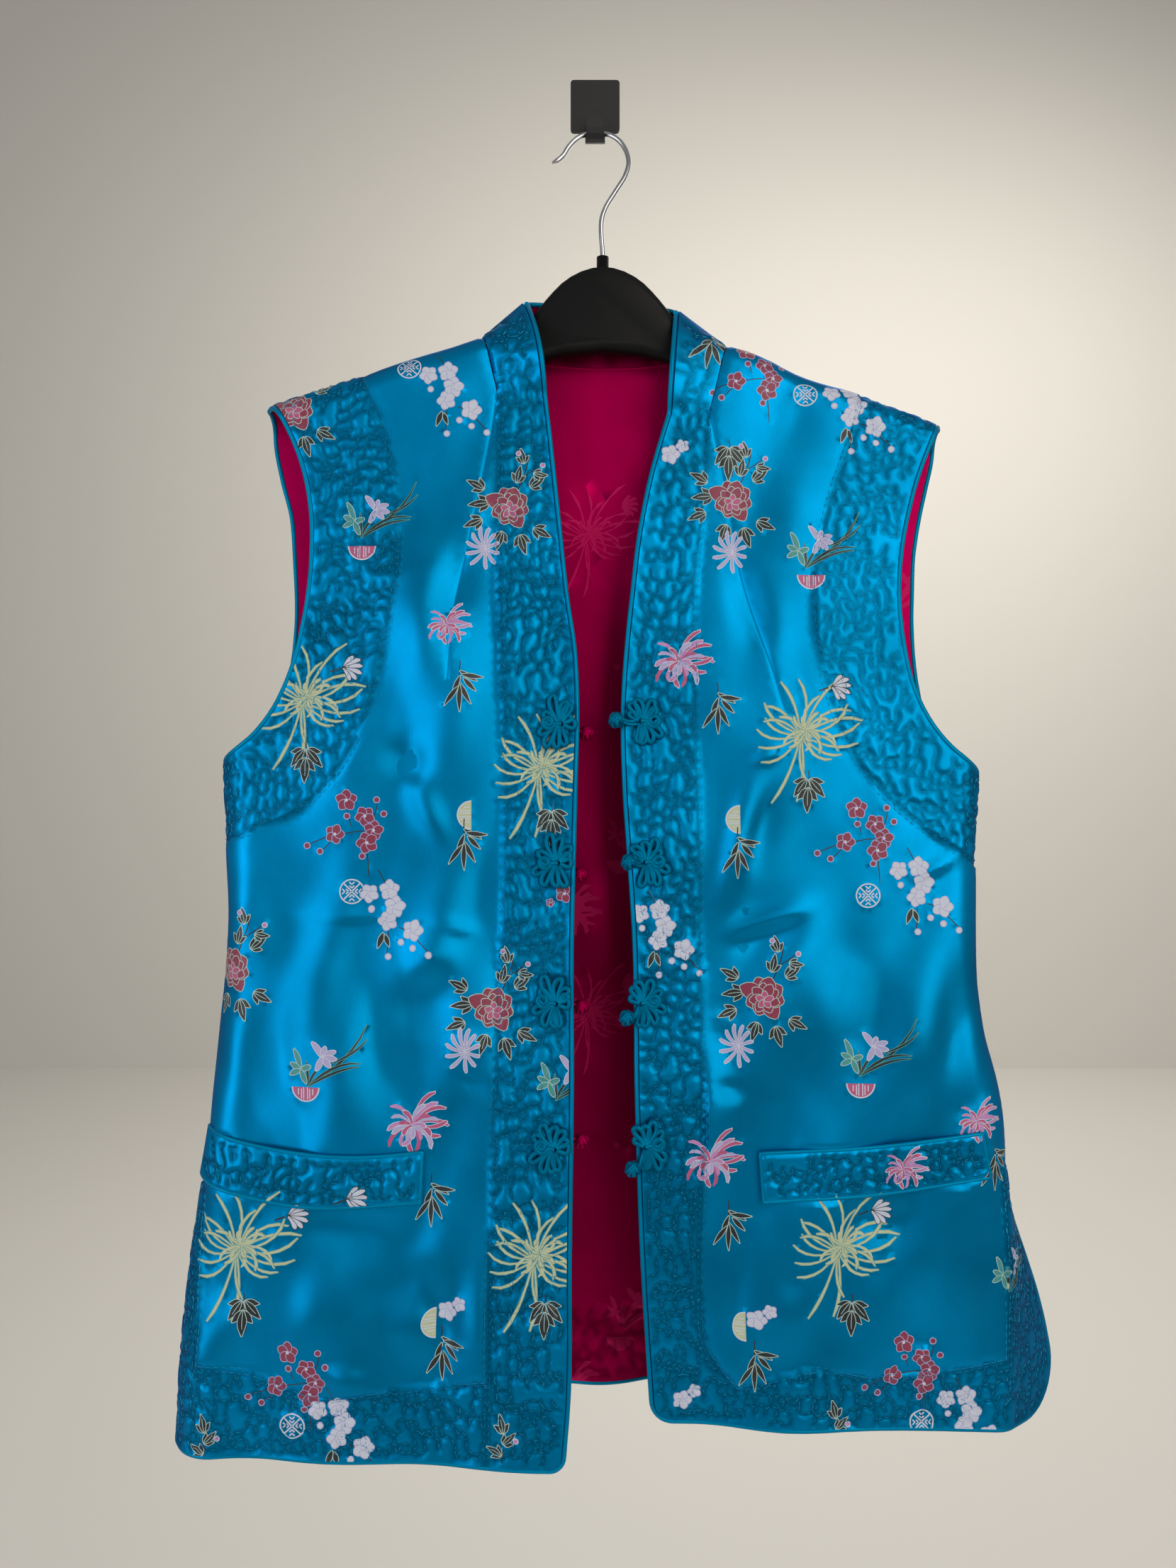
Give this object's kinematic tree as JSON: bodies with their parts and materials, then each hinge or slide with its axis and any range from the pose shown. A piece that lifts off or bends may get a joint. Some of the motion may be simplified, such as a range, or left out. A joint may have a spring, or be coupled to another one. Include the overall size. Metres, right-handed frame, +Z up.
{
  "type": "waistcoat on a hanger and wall hook",
  "caption": "Padded sleeveless brocade jacket with stand collar and quilted borders, open at the front, on a hanger and an adhesive wall hook.",
  "frame": {"origin": "centre of the wall hook plate's back face, on the wall", "axes": "+X to the viewer's right, +Y into the wall, +Z up along the garment's length"},
  "size_m": [0.5122, 0.0833, 0.8065],
  "materials": {
    "brocade": "turquoise satin brocade with woven flowers, padded and quilted at the borders",
    "lining": "crimson satin damask",
    "piping": "turquoise satin bias strip over cord",
    "hanger_plastic": "black injection-moulded plastic, matt",
    "hook_wire": "chromed steel wire",
    "wall_hook_paint": "black painted metal, satin"
  },
  "bodies": {
    "root": {"right_front": "brocade", "left_front": "brocade", "back": "brocade", "collar_back": "brocade", "right_welt": "brocade", "left_welt": "brocade", "lining_right_front": "lining", "lining_left_front": "lining", "lining_back": "lining", "lining_collar": "lining", "lining_knot_1": "lining", "lining_knot_2": "lining", "lining_knot_3": "lining", "lining_knot_4": "lining", "piping_right_edge": "piping", "piping_left_edge": "piping", "piping_collar": "piping", "piping_right_armhole": "piping", "piping_left_armhole": "piping", "piping_back_hem": "piping", "frog_right_1": "piping", "frog_right_2": "piping", "frog_right_3": "piping", "frog_right_4": "piping", "frog_left_1": "piping", "frog_left_2": "piping", "frog_left_3": "piping", "frog_left_4": "piping", "button_1": "piping", "button_2": "piping", "button_3": "piping", "button_4": "piping", "hanger": "hanger_plastic", "wire_hook": "hook_wire", "wall_hook": "wall_hook_paint"}
  },
  "joints": []
}
